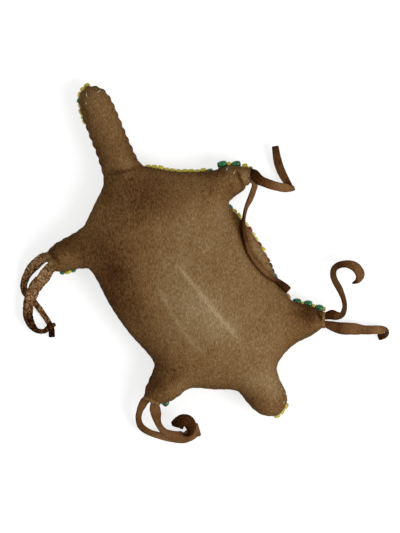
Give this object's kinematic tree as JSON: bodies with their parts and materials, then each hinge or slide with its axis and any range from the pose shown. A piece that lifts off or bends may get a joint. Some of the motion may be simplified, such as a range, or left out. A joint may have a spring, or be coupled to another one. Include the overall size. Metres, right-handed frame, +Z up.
{
  "type": "beaded turtle amulet",
  "caption": "Stuffed hide pouch shaped like a turtle, lying belly up on its beaded back, with a pair of hide thongs from each leg.",
  "frame": {"origin": "middle of the shell, on the surface that the beaded back rests on", "axes": "+Z up out of the plain belly, +Y towards the head, +X to the side of the left legs as they lie"},
  "size_m": [0.1162, 0.1376, 0.0198],
  "materials": {
    "hide": "brain-tanned and smoked hide with a suede nap, lightly scuffed",
    "thong_hide": "darker strips of the same hide, cut edges left raw",
    "bead_yellow": "opaque greasy yellow glass seed beads",
    "bead_green": "dark green glass seed beads"
  },
  "bodies": {
    "root": {"hide_pouch": "hide", "thong_hind_right_long": "thong_hide", "thong_hind_right_flank": "thong_hide", "thong_fore_right_curl": "thong_hide", "thong_fore_right_straight": "thong_hide", "thong_hind_left_outer": "thong_hide", "thong_hind_left_inner": "thong_hide", "thong_fore_left_outer": "thong_hide", "thong_fore_left_scroll": "thong_hide", "bead_lane_shell_1": "bead_yellow", "bead_lane_shell_2": "bead_yellow", "bead_lane_shell_3": "bead_yellow", "bead_lane_shell_4": "bead_yellow", "bead_lane_shell_5": "bead_yellow", "bead_lane_tail": "bead_yellow", "bead_lane_head": "bead_yellow", "bead_string_right_flank": "bead_yellow", "bead_string_rear_right": "bead_yellow", "bead_string_tail_tip": "bead_yellow", "bead_row_hind_right_green_1": "bead_green", "bead_row_hind_right_yellow_1": "bead_yellow", "bead_row_hind_right_green_2": "bead_green", "bead_row_hind_right_yellow_2": "bead_yellow", "bead_row_fore_right_green_1": "bead_green", "bead_row_fore_right_yellow_1": "bead_yellow", "bead_row_fore_right_green_2": "bead_green", "bead_row_fore_right_yellow_2": "bead_yellow", "bead_row_fore_right_green_3": "bead_green", "bead_row_hind_left_green_1": "bead_green", "bead_row_hind_left_yellow_1": "bead_yellow", "bead_row_hind_left_green_2": "bead_green", "bead_row_hind_left_yellow_2": "bead_yellow", "bead_row_hind_left_green_3": "bead_green", "bead_row_fore_left_green_1": "bead_green", "bead_row_fore_left_yellow_1": "bead_yellow", "bead_row_fore_left_green_2": "bead_green", "bead_row_fore_left_yellow_2": "bead_yellow", "bead_row_fore_left_green_3": "bead_green"}
  },
  "joints": []
}
